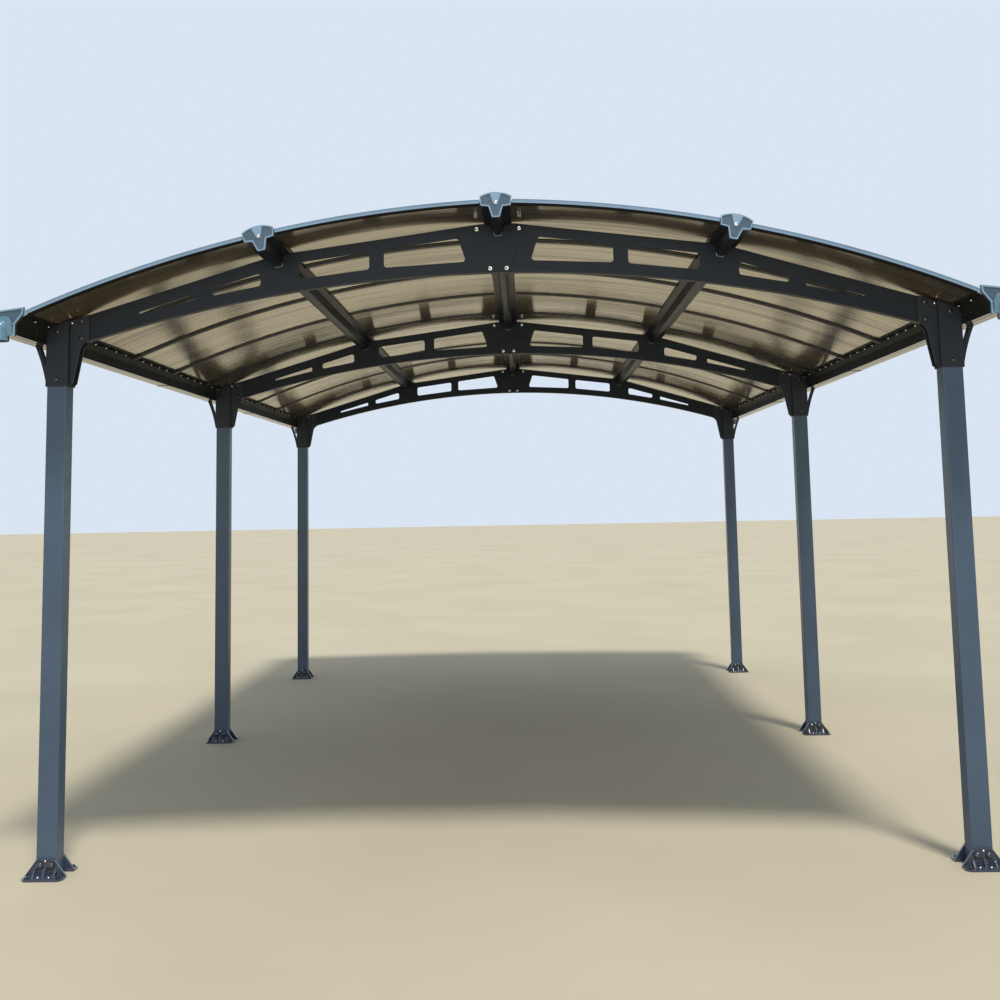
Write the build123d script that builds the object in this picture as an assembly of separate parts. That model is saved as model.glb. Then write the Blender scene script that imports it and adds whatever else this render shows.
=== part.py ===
from build123d import *

import math
import os

# Arched open carport on six posts, in millimetres.
# Origin at the middle of the footprint on the ground.
# X runs across the drive, Y along it towards the rear, Z up.
# Every piece is drawn for the right side and mirrored for the left one.
# Heights near the eave are measured from the roof over the outer face of a post.

# Plan of the frame
POST_SPAN = 3414.0
ARCH_SPACING = 2220.0
ARCH_ROWS = ("front", "middle", "rear")
PANELS_BETWEEN_ARCHES = 4
PANEL_COUNT = 9
PANEL_PITCH = ARCH_SPACING / PANELS_BETWEEN_ARCHES
ROOF_HALF_LENGTH = PANEL_COUNT * PANEL_PITCH / 2

# Curve of the underside of the roof, slightly pointed at the ridge
RIDGE_HEIGHT = 2373.5
ROOF_RADIUS = 4627.0
RIDGE_LEAD = 123.0

# General clearance between pieces that seat on each other
SEAT = 0.3

# Post, a rectangular tube
POST_WIDTH = 75.6
POST_DEPTH = 62.0
POST_WALL = 2.0
POST_CORNER = 4.0
POST_TOP_GAP = 12.0
POST_X = POST_SPAN / 2 - POST_WIDTH / 2

# Quarter purlin, a little outside the middle between ridge and post
QUARTER_OUTSET = 10.4
QUARTER_X = POST_X / 2 + QUARTER_OUTSET

# Post head, a sleeve with two cheeks for the arch and a strut for the gutter
SLEEVE_WALL = 4.0
SLEEVE_DROP = 219.7
CHEEK_THICKNESS = 5.0
CHEEK_REACH = 72.0
CHEEK_FOOT_X = 14.0
CHEEK_FOOT_RISE = 12.0
CHEEK_BEND_X = 35.0
CHEEK_BEND_RISE = 122.0
CHEEK_BULGE = 7.0
STRUT_WIDTH = 30.0
STRUT_FOOT_X = 5.0
STRUT_SPREAD = 45.7
STRUT_HOLLOW = 5.0
STRUT_HEAD = 15.0
STRUT_THROAT = 43.0

# Arch beam, a pressed channel with a straight top edge in each bay
ARCH_DEPTH = 30.0
ARCH_WALL = 2.5
ARCH_DROP_AT_RIDGE = 196.0
ARCH_DROP_AT_POST = 102.0
ARCH_GAP_AT_RIDGE = 6.0
ARCH_GAP_AT_QUARTER = 13.0
ARCH_GAP_AT_POST = 2.0
ARCH_HALF_GAP = 0.5

# Long openings in each arch half, two in the inner and two in the outer bay
SLOT_TOP_BAND = 42.0
SLOT_OUTER_TOP_BAND = 50.0
SLOT_BOTTOM_BAND = 45.0
SLOT_CORNER = 12.0
SLOT_RIDGE_LEAN = 30.0
SLOT_FROM_RIDGE = 122.0
SLOT_BEFORE_QUARTER = 88.0
SLOT_AFTER_QUARTER = 59.0
SLOT_FROM_POST = 260.0
SLOT_INNER_BAR = 56.0
SLOT_INNER_BAR_PLACE = 383.0
SLOT_OUTER_BAR = 61.0
SLOT_OUTER_BAR_PLACE = 274.5

# Plate that joins two arch halves at the ridge
JOINT_PLATE = 3.0
JOINT_TOP_HALF = 101.0
JOINT_BOTTOM_HALF = 45.0
JOINT_EDGE = 3.0

# Purlin, an extrusion with a domed head, two panel grooves and a hollow stem
PURLIN_HALF_WIDTH = 55.0
PURLIN_DOME = 31.5
PURLIN_SHOULDER = 17.0
PURLIN_LEDGE_HALF = 51.5
PURLIN_LEDGE = 13.0
PURLIN_NECK_HALF = 24.0
PURLIN_NECK = 16.0
PURLIN_TOE_HALF = 11.5
PURLIN_STEM = 55.0
PURLIN_WALL = 2.0
PURLIN_TOE_RADIUS = 3.0
GROOVE_FLOOR = 2.2
GROOVE_DEPTH = 33.0
GROOVE_END_GAP = 3.0
PURLIN_INSET = 2.0

# End cap of a purlin, with a raised tongue in a sunk face
CAP_THICKNESS = 12.0
CAP_RIM = 2.0
CAP_RECESS = 2.5
CAP_BORDER = 4.0
TONGUE_TOP_HALF = 23.0
TONGUE_TOE_RADIUS = 9.0
TONGUE_TOE_DROP = 4.0

# Roof panel and the strips that join one panel to the next
PANEL_THICKNESS = 6.0
PANEL_GAP = 6.0
PANEL_EAVE_REACH = 21.0
STRIP_WIDTH = 60.0
STRIP_TOP_WIDTH = 50.0
STRIP_PLATE = 2.5
STRIP_RIB_WIDTH = 20.0
STRIP_RIB = 2.5
STRIP_WEB = 4.0
STRIP_END_GAP = 0.5
STRIP_EAVE_BACK = 43.0

# Trim on the front and rear edge of the roof
TRIM_BELOW = 5.0
TRIM_ABOVE = 11.0
TRIM_WEB = 4.0
TRIM_GRIP = 20.0
TRIM_EAVE_GAP = 0.5
TRIM_CAP_GAP = 0.7

# Gutter in three lengths, outwards from the outer face of the post
GUTTER_LENGTHS = 3
GUTTER_WALL_GAP = 4.5
GUTTER_SKIN = 2.0
GUTTER_DROP = 62.9
GUTTER_BOTTOM_WIDTH = 60.0
GUTTER_OUT = 98.0
GUTTER_RIM = 65.2
GUTTER_RIM_LIP = 10.0
GUTTER_BEND = 41.2
GUTTER_BEAD_PLACE = 18.0
GUTTER_BEAD_WIDTH = 4.0
GUTTER_BEAD_RISE = 2.5
GUTTER_LEDGE_BACK = 35.0
GUTTER_LEDGE_END = 1.0
GUTTER_SLOPE_BACK = 8.0
GUTTER_INSET = 0.0

# Sleeve over the joint of two gutter lengths
SPLICE_LENGTH = 46.0
SPLICE_SKIN = 1.5

# End cap of a gutter with its domed outlet
GUTTER_CAP_THICKNESS = 13.0
GUTTER_CAP_RISE = 35.3
GUTTER_CAP_OUTER_RISE = 18.0
GUTTER_CAP_TOP_BACK = 27.0
GUTTER_CAP_SIDE_BACK = 24.5
GUTTER_CAP_SIDE_RISE = 11.3
GUTTER_CAP_BEND_OUT = 3.5
GUTTER_CAP_BEND_DROP = 4.0
GUTTER_CAP_FOOT_DROP = 3.0
GUTTER_CAP_RECESS = 2.5
GUTTER_CAP_BORDER = 6.0
SPIGOT_RADIUS = 31.0
SPIGOT_WALL = 2.5
SPIGOT_STOP = 2.0
SPIGOT_OUT = 58.5
SPIGOT_LENGTH = 21.0
SPIGOT_SHOULDER = 22.2
SPIGOT_PROUD = 24.0

# Raised plate on the cap around the outlet
COLLAR_DEPTH = 3.0
COLLAR_WAIST_HALF = 45.5
COLLAR_WAIST = 38.9
COLLAR_SHOULDER_HALF = 34.0
COLLAR_SHOULDER = 62.9
COLLAR_TOP_HALF = 21.0
COLLAR_TOP = 65.9

# Ribbed shoe, one on the front and one on the rear face of each post
SHOE_HEIGHT = 67.0
SHOE_BASE_HALF = 75.0
SHOE_TOP_HALF = 31.0
SHOE_TOP_CORNER = 8.0
SHOE_FLANGE = 8.0
SHOE_FLANGE_REACH = 48.0
SHOE_CORNER_CUT = 14.0
SHOE_WALL = 5.0
SHOE_RIM = 4.0
SHOE_RIM_PROUD = 4.0
SHOE_RIB = 6.0
SHOE_RIB_REACH = 30.0
SHOE_RIB_TOP_REACH = 12.0
SHOE_RIB_SPACING = 38.0
SHOE_RIB_TOP = 36.0
SHOE_SIDE_RIB_TOP = 28.0
SHOE_PAD_RADIUS = 13.0
SHOE_PAD_PROUD = 2.0
SHOE_PAD_HEIGHT = 43.0
SHOE_PAD_SPACING = 41.5
ANCHOR_SPACING = 116.0
ANCHOR_FORWARD = 34.0
ANCHOR_HOLE_RADIUS = 4.5


# Roof curve

def roof_centre():
    """Centre of curvature of the right half of the roof."""
    drop = math.sqrt(ROOF_RADIUS**2 - RIDGE_LEAD**2)
    return -RIDGE_LEAD, RIDGE_HEIGHT - drop


def roof_angle(x):
    """Slope of the roof at a distance from the ridge line, in radians."""
    return math.asin((x + RIDGE_LEAD) / ROOF_RADIUS)


def roof_point(x, lift=0.0):
    """Point over a place on the underside, raised square to the roof."""
    centre_x, centre_z = roof_centre()
    angle = roof_angle(x)
    reach = ROOF_RADIUS + lift
    return centre_x + reach * math.sin(angle), centre_z + reach * math.cos(angle)


def roof_height(x):
    """Height of the underside of the roof at a distance from the ridge line."""
    return roof_point(x)[1]


def eave_height():
    """Height of the underside of the roof over the outer face of a post."""
    return roof_height(POST_SPAN / 2)


def beside_ridge(gap):
    """Where a piece starts beside the ridge purlin."""
    return gap


def before_quarter(gap):
    return QUARTER_X - gap * math.cos(roof_angle(QUARTER_X))


def after_quarter(gap):
    return QUARTER_X + gap * math.cos(roof_angle(QUARTER_X))


# Drawing helpers: sections are drawn in X and Z and run along Y

def section_plane(y):
    return Plane(origin=(0, y, 0), x_dir=(1, 0, 0), z_dir=(0, -1, 0))


def along_y(face, y_from, y_to):
    """Solid of a section between two places along Y."""
    return extrude(section_plane(y_to) * face, amount=y_to - y_from)


def outline(*points):
    return make_face(Polyline(*points, close=True))


def box_between(low, high):
    size = [b - a for a, b in zip(low, high)]
    middle = [(a + b) / 2 for a, b in zip(low, high)]
    return Pos(*middle) * Box(*size)


def roof_band(x_from, x_to, low, high):
    """Section between two curves parallel to the roof, on the right half."""
    x_middle = (x_from + x_to) / 2
    edges = [
        ThreePointArc(roof_point(x_from, low), roof_point(x_middle, low), roof_point(x_to, low)),
        Line(roof_point(x_to, low), roof_point(x_to, high)),
        ThreePointArc(roof_point(x_to, high), roof_point(x_middle, high), roof_point(x_from, high)),
        Line(roof_point(x_from, high), roof_point(x_from, low)),
    ]
    return make_face(edges)


def mirrored(piece):
    """The same piece on the left side."""
    return mirror(piece, about=Plane.YZ)


def turned(piece):
    """The same piece at the other end of the carport."""
    return mirror(piece, about=Plane.XZ)


def both_sides(name, piece):
    return {name + "_right": piece, name + "_left": mirrored(piece)}


def row_places():
    """Name and Y of each row of posts."""
    middle = (len(ARCH_ROWS) - 1) / 2
    return {row: (number - middle) * ARCH_SPACING for number, row in enumerate(ARCH_ROWS)}


# Purlins

def purlin_outline(grow=0.0):
    """Outer shape of the purlin about the underside of the panels."""
    wide = PURLIN_HALF_WIDTH + grow
    ledge_half = PURLIN_LEDGE_HALF + grow
    neck = PURLIN_NECK_HALF + grow
    toe = PURLIN_TOE_HALF + grow
    shoulder = PURLIN_SHOULDER + grow
    ledge = -PURLIN_LEDGE - grow
    neck_z = -PURLIN_NECK - grow
    stem = -PURLIN_STEM - grow
    below = Polyline(
        (-wide, shoulder), (-ledge_half, ledge), (-neck, neck_z), (-toe, stem),
        (toe, stem), (neck, neck_z), (ledge_half, ledge), (wide, shoulder),
    )
    dome = ThreePointArc((wide, shoulder), (0, PURLIN_DOME + grow), (-wide, shoulder))
    face = make_face([*below.edges(), dome])
    toes = face.vertices().sort_by(Axis.Y)[:2]
    return fillet(toes, PURLIN_TOE_RADIUS)


def purlin_section():
    """Purlin with a groove each side for the panels, a hollow stem and a hollow dome."""
    groove_low = -GROOVE_FLOOR
    groove_high = PANEL_THICKNESS + SEAT
    groove_in = PURLIN_HALF_WIDTH - GROOVE_DEPTH
    reach = PURLIN_HALF_WIDTH + PURLIN_WALL
    face = purlin_outline()
    for side in (1, -1):
        face -= outline(
            (side * groove_in, groove_low), (side * reach, groove_low),
            (side * reach, groove_high), (side * groove_in, groove_high),
        )
    neck = groove_in - PURLIN_WALL
    toe = PURLIN_TOE_HALF - PURLIN_WALL
    toe_z = PURLIN_WALL - PURLIN_STEM
    stem_hollow = outline(
        (neck, groove_high), (neck, -PURLIN_NECK), (toe, toe_z),
        (-toe, toe_z), (-neck, -PURLIN_NECK), (-neck, groove_high),
    )
    wide = PURLIN_HALF_WIDTH - PURLIN_WALL - SEAT
    dome_floor = groove_high + PURLIN_WALL
    dome_side = PURLIN_SHOULDER - PURLIN_WALL
    dome_hollow = make_face([
        *Polyline((-wide, dome_side), (-wide, dome_floor), (wide, dome_floor), (wide, dome_side)).edges(),
        ThreePointArc((wide, dome_side), (0, PURLIN_DOME - PURLIN_WALL), (-wide, dome_side)),
    ])
    return face - stem_hollow - dome_hollow


def at_ridge(face):
    return Pos(0, RIDGE_HEIGHT) * face


def at_quarter(face):
    """Section moved to the right quarter purlin and tilted with the roof."""
    x, z = roof_point(QUARTER_X)
    return Pos(x, z) * Rot(0, 0, -math.degrees(roof_angle(QUARTER_X))) * face


def purlin_end():
    return ROOF_HALF_LENGTH + PURLIN_INSET


def purlins():
    end = purlin_end()
    ridge = along_y(at_ridge(purlin_section()), -end, end)
    quarter = along_y(at_quarter(purlin_section()), -end, end)
    return {"ridge_purlin": ridge, **both_sides("quarter_purlin", quarter)}


# Purlin end caps

def cap_tongue():
    """Raised tongue from the top of the cap down to its screw, with a round toe."""
    top = PURLIN_DOME + 2 * CAP_RIM
    middle = -TONGUE_TOE_DROP
    taper = outline(
        (-TONGUE_TOP_HALF, top), (-TONGUE_TOE_RADIUS, middle),
        (TONGUE_TOE_RADIUS, middle), (TONGUE_TOP_HALF, top),
    )
    return taper + Pos(0, middle) * Circle(TONGUE_TOE_RADIUS)


def purlin_cap(place):
    """Cap on the front end of a purlin."""
    back = -purlin_end() - SEAT
    front = back - CAP_THICKNESS
    sunk = purlin_outline(CAP_RIM - CAP_BORDER) - cap_tongue()
    body = along_y(place(purlin_outline(CAP_RIM)), front, back)
    return body - along_y(place(sunk), front - CAP_RECESS, front + CAP_RECESS)


def purlin_caps():
    ridge = purlin_cap(at_ridge)
    right = purlin_cap(at_quarter)
    front = [ridge, right, mirrored(right)]
    rear = [turned(cap) for cap in front]
    return {"purlin_caps_front": front, "purlin_caps_rear": rear}


# Roof panels

def panel_rows():
    """Start and end of each panel along Y."""
    rows = []
    for number in range(PANEL_COUNT):
        start = -ROOF_HALF_LENGTH + number * PANEL_PITCH
        first = PANEL_GAP / 2 if number > 0 else 0
        last = PANEL_GAP / 2 if number < PANEL_COUNT - 1 else 0
        rows.append((start + first, start + PANEL_PITCH - last))
    return rows


def panels():
    edge = PURLIN_HALF_WIDTH - GROOVE_DEPTH + GROOVE_END_GAP
    spans = {
        "roof_panels_inner": (beside_ridge(edge), before_quarter(edge)),
        "roof_panels_outer": (after_quarter(edge), POST_SPAN / 2 + PANEL_EAVE_REACH),
    }
    nodes = {}
    for name, (x_from, x_to) in spans.items():
        face = roof_band(x_from, x_to, 0, PANEL_THICKNESS)
        right = [along_y(face, *row) for row in panel_rows()]
        nodes[name + "_right"] = right
        nodes[name + "_left"] = [mirrored(panel) for panel in right]
    return nodes


# Strips between the panels

def strip_piece(x_from, x_to, y):
    """Strip with a plate and rib below the panels and a plate above them."""
    under = -SEAT
    over = PANEL_THICKNESS + SEAT
    layers = (
        (under - STRIP_PLATE - STRIP_RIB, under - STRIP_PLATE, STRIP_RIB_WIDTH),
        (under - STRIP_PLATE, under, STRIP_WIDTH),
        (under, over, STRIP_WEB),
        (over, over + STRIP_PLATE, STRIP_TOP_WIDTH),
    )
    strip = None
    for low, high, width in layers:
        layer = along_y(roof_band(x_from, x_to, low, high), y - width / 2, y + width / 2)
        strip = layer if strip is None else strip + layer
    return strip


def strips():
    edge = PURLIN_HALF_WIDTH + STRIP_END_GAP
    spans = (
        (beside_ridge(edge), before_quarter(edge)),
        (after_quarter(edge), POST_SPAN / 2 - STRIP_EAVE_BACK),
    )
    places = [-ROOF_HALF_LENGTH + number * PANEL_PITCH for number in range(1, PANEL_COUNT)]
    right = [strip_piece(x_from, x_to, y) for x_from, x_to in spans for y in places]
    return {"joint_strips_right": right, "joint_strips_left": [mirrored(strip) for strip in right]}


# Trim on the front and rear edge

def trim_piece(x_from, x_to):
    """Channel that grips the front edge of the panels."""
    face_y = -ROOF_HALF_LENGTH - SEAT - TRIM_WEB
    grip_y = -ROOF_HALF_LENGTH + TRIM_GRIP
    body = along_y(roof_band(x_from, x_to, -TRIM_BELOW, TRIM_ABOVE), face_y, grip_y)
    groove = along_y(
        roof_band(x_from - TRIM_WEB, x_to + TRIM_WEB, -SEAT, PANEL_THICKNESS + SEAT),
        face_y + TRIM_WEB, grip_y + TRIM_WEB,
    )
    return body - groove


def trim_tail(x_from):
    """Face of the trim alone, past the ledge of the gutter up to its end cap."""
    face_y = -ROOF_HALF_LENGTH - SEAT - TRIM_WEB
    band = roof_band(x_from, POST_SPAN / 2, -TRIM_BELOW, TRIM_ABOVE)
    return along_y(band - offset(gutter_cap_outline(), amount=TRIM_CAP_GAP), face_y, face_y + TRIM_WEB)


def trims():
    edge = PURLIN_HALF_WIDTH + CAP_RIM + STRIP_END_GAP
    eave_x = POST_SPAN / 2 - GUTTER_LEDGE_BACK - TRIM_EAVE_GAP
    right = [
        trim_piece(beside_ridge(edge), before_quarter(edge)),
        trim_piece(after_quarter(edge), eave_x) + trim_tail(eave_x),
    ]
    front = right + [mirrored(piece) for piece in right]
    return {"edge_trim_front": front, "edge_trim_rear": [turned(piece) for piece in front]}


# Arch beams

def arch_end_x():
    """Where the arch meets the inner side of the sleeve."""
    return sleeve_inner_x() - SEAT


def arch_under(x):
    """Height of the lower edge, an arc from its crown under the ridge to the post."""
    end = arch_end_x()
    crown = RIDGE_HEIGHT - ARCH_DROP_AT_RIDGE
    fall = crown - (roof_height(end) - ARCH_DROP_AT_POST)
    radius = (end**2 + fall**2) / (2 * fall)
    return crown - radius + math.sqrt(radius**2 - x**2)


def arch_top_lines():
    """Straight top edge of the arch in the inner and the outer bay."""
    ridge_x = PURLIN_HALF_WIDTH
    quarter_in = before_quarter(PURLIN_HALF_WIDTH)
    quarter_out = after_quarter(PURLIN_HALF_WIDTH)
    inner = (
        (ridge_x, roof_height(ridge_x) - ARCH_GAP_AT_RIDGE),
        (quarter_in, roof_height(quarter_in) - ARCH_GAP_AT_QUARTER),
    )
    outer = (
        (quarter_out, roof_height(quarter_out) - ARCH_GAP_AT_QUARTER),
        (arch_end_x(), roof_height(arch_end_x()) - ARCH_GAP_AT_POST),
    )
    return inner, outer


def on_line(line, x):
    (x_a, z_a), (x_b, z_b) = line
    return z_a + (x - x_a) * (z_b - z_a) / (x_b - x_a)


def arch_top(x):
    """Height of the top edge of the arch, below the straight edge of its bay."""
    inner, outer = arch_top_lines()
    return on_line(inner if x < QUARTER_X else outer, x)


def arch_face():
    """Outline of one arch half, from the ridge to the sleeve of the post."""
    inner, outer = arch_top_lines()
    start = ARCH_HALF_GAP
    end = arch_end_x()
    middle = (start + end) / 2
    edges = [
        Line((start, arch_under(start)), (start, on_line(inner, start))),
        Line((start, on_line(inner, start)), inner[1]),
        Line(inner[1], outer[0]),
        Line(outer[0], outer[1]),
        Line(outer[1], (end, arch_under(end))),
        ThreePointArc(
            (end, arch_under(end)), (middle, arch_under(middle)), (start, arch_under(start)),
        ),
    ]
    return make_face(edges)


def purlin_notches():
    """Room for the ridge purlin and the quarter purlin in an arch."""
    return at_ridge(purlin_outline(SEAT)) + at_quarter(purlin_outline(SEAT))


def slot_spans():
    """Start and end of the four openings of an arch half."""
    inner_bar = QUARTER_X - SLOT_INNER_BAR_PLACE
    outer_bar = QUARTER_X + SLOT_OUTER_BAR_PLACE
    return (
        (SLOT_FROM_RIDGE, inner_bar - SLOT_INNER_BAR / 2),
        (inner_bar + SLOT_INNER_BAR / 2, QUARTER_X - SLOT_BEFORE_QUARTER),
        (QUARTER_X + SLOT_AFTER_QUARTER, outer_bar - SLOT_OUTER_BAR / 2),
        (outer_bar + SLOT_OUTER_BAR / 2, arch_end_x() - SLOT_FROM_POST),
    )


def arch_slot(x_from, x_to):
    """One long opening, parallel to both edges of the arch, with round corners."""
    top_band = SLOT_TOP_BAND if x_to < QUARTER_X else SLOT_OUTER_TOP_BAND
    lean = SLOT_RIDGE_LEAN if x_from == SLOT_FROM_RIDGE else 0
    corners = (
        (x_from, arch_under(x_from) + SLOT_BOTTOM_BAND),
        (x_to, arch_under(x_to) + SLOT_BOTTOM_BAND),
        (x_to, arch_top(x_to) - top_band),
        (x_from + lean, arch_top(x_from + lean) - top_band),
    )
    face = outline(*corners)
    shortest = min(corners[2][1] - corners[1][1], corners[3][1] - corners[0][1])
    return fillet(face.vertices(), min(SLOT_CORNER, shortest / 2 - SEAT))


def arch_half(y):
    """Channel with its web to the front and its flanges to the rear."""
    front = y - ARCH_DEPTH / 2
    back = y + ARCH_DEPTH / 2
    face = arch_face() - purlin_notches()
    beam = along_y(face, front, back)
    beam -= along_y(offset(face, amount=-ARCH_WALL), front + ARCH_WALL, back + ARCH_WALL)
    for x_from, x_to in slot_spans():
        beam -= along_y(arch_slot(x_from, x_to), front - ARCH_WALL, back)
    return beam


def arches():
    nodes = {}
    for row, y in row_places().items():
        nodes.update(both_sides(f"arch_{row}", arch_half(y)))
    return nodes


# Plates that join the arch halves at the ridge

def joint_plate(y_from, y_to):
    inner = arch_top_lines()[0]
    bottom = arch_under(JOINT_BOTTOM_HALF) + JOINT_EDGE
    side_top = on_line(inner, JOINT_TOP_HALF) - JOINT_EDGE
    middle_top = on_line(inner, 0) - JOINT_EDGE
    face = outline(
        (-JOINT_BOTTOM_HALF, bottom), (JOINT_BOTTOM_HALF, bottom), (JOINT_TOP_HALF, side_top),
        (0, middle_top), (-JOINT_TOP_HALF, side_top),
    )
    return along_y(face - at_ridge(purlin_outline(SEAT)), y_from, y_to)


def joint_plates():
    nodes = {}
    for row, y in row_places().items():
        front = y - ARCH_DEPTH / 2 - SEAT
        back = y + ARCH_DEPTH / 2 + SEAT
        plates = [joint_plate(front - JOINT_PLATE, front), joint_plate(back, back + JOINT_PLATE)]
        nodes[f"arch_joint_{row}"] = plates
    return nodes


# Posts

def post_top():
    return gutter_ledge_point(POST_SPAN / 2)[1] - POST_TOP_GAP


def post(y):
    outer = RectangleRounded(POST_WIDTH, POST_DEPTH, POST_CORNER)
    inner = RectangleRounded(
        POST_WIDTH - 2 * POST_WALL, POST_DEPTH - 2 * POST_WALL, POST_CORNER - POST_WALL,
    )
    return Pos(POST_X, y, 0) * extrude(outer - inner, amount=post_top())


def posts():
    nodes = {}
    for row, y in row_places().items():
        nodes.update(both_sides(f"post_{row}", post(y)))
    return nodes


# Post heads

def sleeve_inner_x():
    return POST_X - POST_WIDTH / 2 - SEAT - SLEEVE_WALL


def sleeve_outer_x():
    return POST_X + POST_WIDTH / 2 + SEAT + SLEEVE_WALL


def sleeve_front():
    return POST_DEPTH / 2 + SEAT + SLEEVE_WALL


def sleeve_bottom():
    return eave_height() - SLEEVE_DROP


def sleeve(y):
    """Square sleeve around the post, cut to the slope of the roof on top."""
    inner = sleeve_inner_x()
    outer = sleeve_outer_x()
    slope_x = gutter_slope_x()
    face = outline(
        (inner, sleeve_bottom()), (outer, sleeve_bottom()), (outer, gutter_bend() - SEAT),
        (slope_x - SEAT, gutter_ledge_point(slope_x)[1] - SEAT),
        (inner, gutter_ledge_point(inner)[1]),
    )
    body = along_y(face, y - sleeve_front(), y + sleeve_front())
    tube = box_between(
        (inner + SLEEVE_WALL, y - POST_DEPTH / 2 - SEAT, sleeve_bottom() - SLEEVE_WALL),
        (outer - SLEEVE_WALL, y + POST_DEPTH / 2 + SEAT, RIDGE_HEIGHT),
    )
    return body - tube


def cheek_face():
    """Gusset between the sleeve and the end of the arch."""
    x = sleeve_inner_x()
    low = sleeve_bottom()
    reach_x = x - CHEEK_REACH
    foot = (x - CHEEK_FOOT_X, low + CHEEK_FOOT_RISE)
    bend = (x - CHEEK_BEND_X, low + CHEEK_BEND_RISE)
    tip = (reach_x, arch_under(reach_x))
    hollow = ((bend[0] + tip[0]) / 2 + CHEEK_BULGE, (bend[1] + tip[1]) / 2 + CHEEK_BULGE)
    inside = x + SLEEVE_WALL / 2
    edges = [
        Line((inside, low), (x, low)),
        Line((x, low), foot),
        Line(foot, bend),
        ThreePointArc(bend, hollow, tip),
        Line(tip, (reach_x, arch_top(reach_x))),
        Line((reach_x, arch_top(reach_x)), (x - SEAT, arch_top(x - SEAT))),
        Line((x - SEAT, arch_top(x - SEAT)), (inside, arch_top(x - SEAT))),
        Line((inside, arch_top(x - SEAT)), (inside, low)),
    ]
    return make_face(edges)


def strut_face():
    """Thin curved bar from the foot of the sleeve out to the gutter."""
    x = sleeve_outer_x()
    low = sleeve_bottom()
    inside = x - SLEEVE_WALL / 2
    foot = (x + STRUT_FOOT_X, low)
    head = (foot[0] + STRUT_SPREAD, gutter_bottom() - SEAT)
    hollow = ((foot[0] + head[0]) / 2 - STRUT_HOLLOW, (foot[1] + head[1]) / 2)
    back = (head[0] - STRUT_HEAD, head[1])
    throat = (inside, low + STRUT_THROAT)
    edges = [
        Line((inside, low), foot),
        ThreePointArc(foot, hollow, head),
        Line(head, back),
        Line(back, throat),
        Line(throat, (inside, low)),
    ]
    return make_face(edges)


def post_head(y):
    front = y - ARCH_DEPTH / 2 - SEAT
    back = y + ARCH_DEPTH / 2 + SEAT
    head = sleeve(y)
    head += along_y(cheek_face(), front - CHEEK_THICKNESS, front)
    head += along_y(cheek_face(), back, back + CHEEK_THICKNESS)
    head += along_y(strut_face(), y - STRUT_WIDTH / 2, y + STRUT_WIDTH / 2)
    return head


def post_heads():
    nodes = {}
    for row, y in row_places().items():
        nodes.update(both_sides(f"post_head_{row}", post_head(y)))
    return nodes


# Gutters

def gutter_wall_x():
    """Inner face of the gutter that stands beside the post heads."""
    return POST_SPAN / 2 + GUTTER_WALL_GAP + SEAT


def gutter_out_x():
    return POST_SPAN / 2 + GUTTER_OUT


def gutter_slope_x():
    """Where the wall of the gutter meets the ledge under the panels."""
    return POST_SPAN / 2 - GUTTER_SLOPE_BACK


def gutter_bottom():
    return eave_height() - GUTTER_DROP


def gutter_rim():
    return gutter_bottom() + GUTTER_RIM


def gutter_bend():
    """Height where the inner wall turns towards the ledge."""
    return gutter_bottom() + GUTTER_BEND


def gutter_ledge_point(x):
    """Place just below the ledge that carries the panels."""
    return roof_point(x, -SEAT - GUTTER_SKIN - SEAT)


def gutter_section():
    """Open channel with a beaded floor, a leaning outer wall and a ledge under the panels."""
    skin = GUTTER_SKIN
    wall = gutter_wall_x()
    out = gutter_out_x()
    bottom = gutter_bottom()
    bead = wall + GUTTER_BEAD_PLACE
    bead_half = GUTTER_BEAD_WIDTH / 2
    bead_top = bottom + GUTTER_BEAD_RISE
    floor_end = wall + GUTTER_BOTTOM_WIDTH
    rim = gutter_rim()
    lip = out - GUTTER_RIM_LIP
    slope_x = gutter_slope_x()
    slope_z = roof_point(slope_x, -SEAT - skin)[1]
    channel = outline(
        (slope_x, slope_z), (wall, gutter_bend()), (wall, bottom),
        (bead - bead_half, bottom), (bead, bead_top), (bead + bead_half, bottom),
        (floor_end, bottom), (out, rim), (lip, rim), (lip, rim - skin), (out - 1.5 * skin, rim - skin),
        (floor_end - skin / 2, bottom + skin), (bead + bead_half, bottom + skin),
        (bead, bead_top + skin), (bead - bead_half, bottom + skin),
        (wall + skin, bottom + skin), (wall + skin, gutter_bend()),
        (slope_x + skin, slope_z + skin / 2),
    )
    ledge = roof_band(
        POST_SPAN / 2 - GUTTER_LEDGE_BACK, POST_SPAN / 2 - GUTTER_LEDGE_END, -SEAT - skin, -SEAT,
    )
    return channel + ledge


def gutter_filled():
    """Outside of the channel up to the rim, with the room in it filled."""
    wall = gutter_wall_x()
    bottom = gutter_bottom()
    return outline(
        (wall, gutter_rim()), (wall, bottom), (wall + GUTTER_BOTTOM_WIDTH, bottom),
        (gutter_out_x(), gutter_rim()),
    )


def gutter_end():
    return ROOF_HALF_LENGTH + GUTTER_INSET


def splice_sleeve(y):
    """Thin sleeve under the floor and beside the inner wall, over a joint."""
    skin = SPLICE_SKIN
    wall = gutter_wall_x() - SEAT
    bottom = gutter_bottom() - SEAT
    floor_end = gutter_wall_x() + GUTTER_BOTTOM_WIDTH
    top = gutter_bend() - skin
    face = outline(
        (wall, top), (wall, bottom), (floor_end, bottom), (floor_end, bottom - skin),
        (wall - skin, bottom - skin), (wall - skin, top),
    )
    return along_y(face, y - SPLICE_LENGTH / 2, y + SPLICE_LENGTH / 2)


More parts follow.
